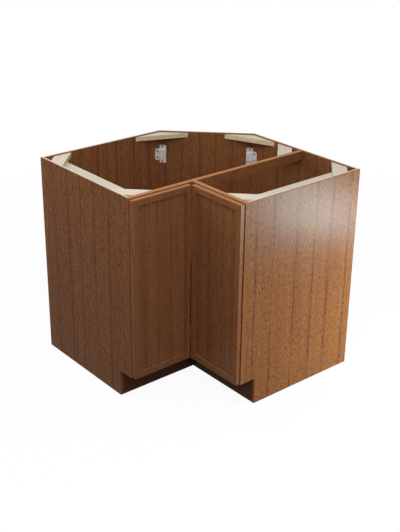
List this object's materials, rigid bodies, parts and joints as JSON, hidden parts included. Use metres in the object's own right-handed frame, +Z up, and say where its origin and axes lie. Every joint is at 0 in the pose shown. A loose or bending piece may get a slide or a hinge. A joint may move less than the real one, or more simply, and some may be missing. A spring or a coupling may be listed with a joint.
{
  "type": "corner base cabinet",
  "caption": "L-shaped corner kitchen base cabinet with a clipped rear corner, open top with corner blocks, and a bi-fold pair of slim-frame doors that fold away together",
  "frame": {"origin": "on the floor, at the centre of the square that holds the cabinet", "axes": "+Z up; +Y towards the wall behind the left arm; +X towards the wall behind the right arm"},
  "size_m": [0.9144, 0.9144, 0.8763],
  "materials": {
    "stained_panel": "brown stained veneer, satin",
    "stained_frame": "brown stained hardwood, satin",
    "raw_wood": "bare pale wood",
    "toe_board": "dark brown stained board",
    "zinc_steel": "zinc plated",
    "bronze_steel": "dark bronze",
    "bumper_rubber": "translucent soft rubber"
  },
  "bodies": {
    "carcass": {"left_side_panel": "stained_panel", "right_side_panel": "stained_panel", "left_back_panel": "stained_panel", "right_back_panel": "stained_panel", "diagonal_back_panel": "stained_panel", "floor_panel": "stained_panel", "shelf": "stained_panel", "shelf_pins": "zinc_steel", "left_toe_kick": "toe_board", "right_toe_kick": "toe_board", "left_frame_stile": "stained_frame", "right_frame_stile": "stained_frame", "long_top_rail": "stained_frame", "right_top_rail": "stained_frame", "left_bottom_rail": "stained_frame", "right_bottom_rail": "stained_frame", "left_front_block": "raw_wood", "right_front_block": "raw_wood", "left_rear_block": "raw_wood", "right_rear_block": "raw_wood", "left_obtuse_block": "raw_wood", "right_obtuse_block": "raw_wood", "rail_end_block": "raw_wood", "left_top_stretcher": "raw_wood", "right_top_stretcher": "raw_wood", "left_bracket_bridges": "zinc_steel", "left_bracket_tongues": "zinc_steel", "right_bracket_bridges": "zinc_steel", "right_bracket_tongues": "zinc_steel", "bracket_screws": "zinc_steel", "lower_hinge_frame_leaf": "bronze_steel", "upper_hinge_frame_leaf": "bronze_steel", "hinge_pins": "bronze_steel", "hinge_frame_screws": "bronze_steel"},
    "left_door": {"left_door_hinge_stile": "stained_frame", "left_door_meeting_stile": "stained_frame", "left_door_top_rail": "stained_frame", "left_door_bottom_rail": "stained_frame", "left_door_panel": "stained_frame", "left_door_bumpers": "bumper_rubber", "lower_hinge_door_leaf": "bronze_steel", "upper_hinge_door_leaf": "bronze_steel", "hinge_door_screws": "bronze_steel", "lower_fold_left_leaf": "bronze_steel", "upper_fold_left_leaf": "bronze_steel", "fold_hinge_pins": "bronze_steel", "fold_left_screws": "bronze_steel"},
    "right_door": {"right_door_meeting_stile": "stained_frame", "right_door_outer_stile": "stained_frame", "right_door_top_rail": "stained_frame", "right_door_bottom_rail": "stained_frame", "right_door_panel": "stained_frame", "right_door_bumpers": "bumper_rubber", "lower_fold_right_leaf": "bronze_steel", "upper_fold_right_leaf": "bronze_steel", "fold_right_screws": "bronze_steel"}
  },
  "joints": [
    {"name": "left_door_swing", "type": "hinge", "parent": "carcass", "child": "left_door", "pos_m": [-0.4542, -0.15365, 0.495], "axis": [0, 0, -1], "range_deg": [0, 105]},
    {"name": "right_door_fold", "type": "hinge", "parent": "left_door", "child": "right_door", "pos_m": [-0.17215, -0.17215, 0.495], "axis": [0, 0, 1], "range_deg": [0, 75]}
  ],
  "couplings": [
    {"joint": "right_door_fold", "follows": "left_door_swing", "ratio": 0.71429}
  ]
}
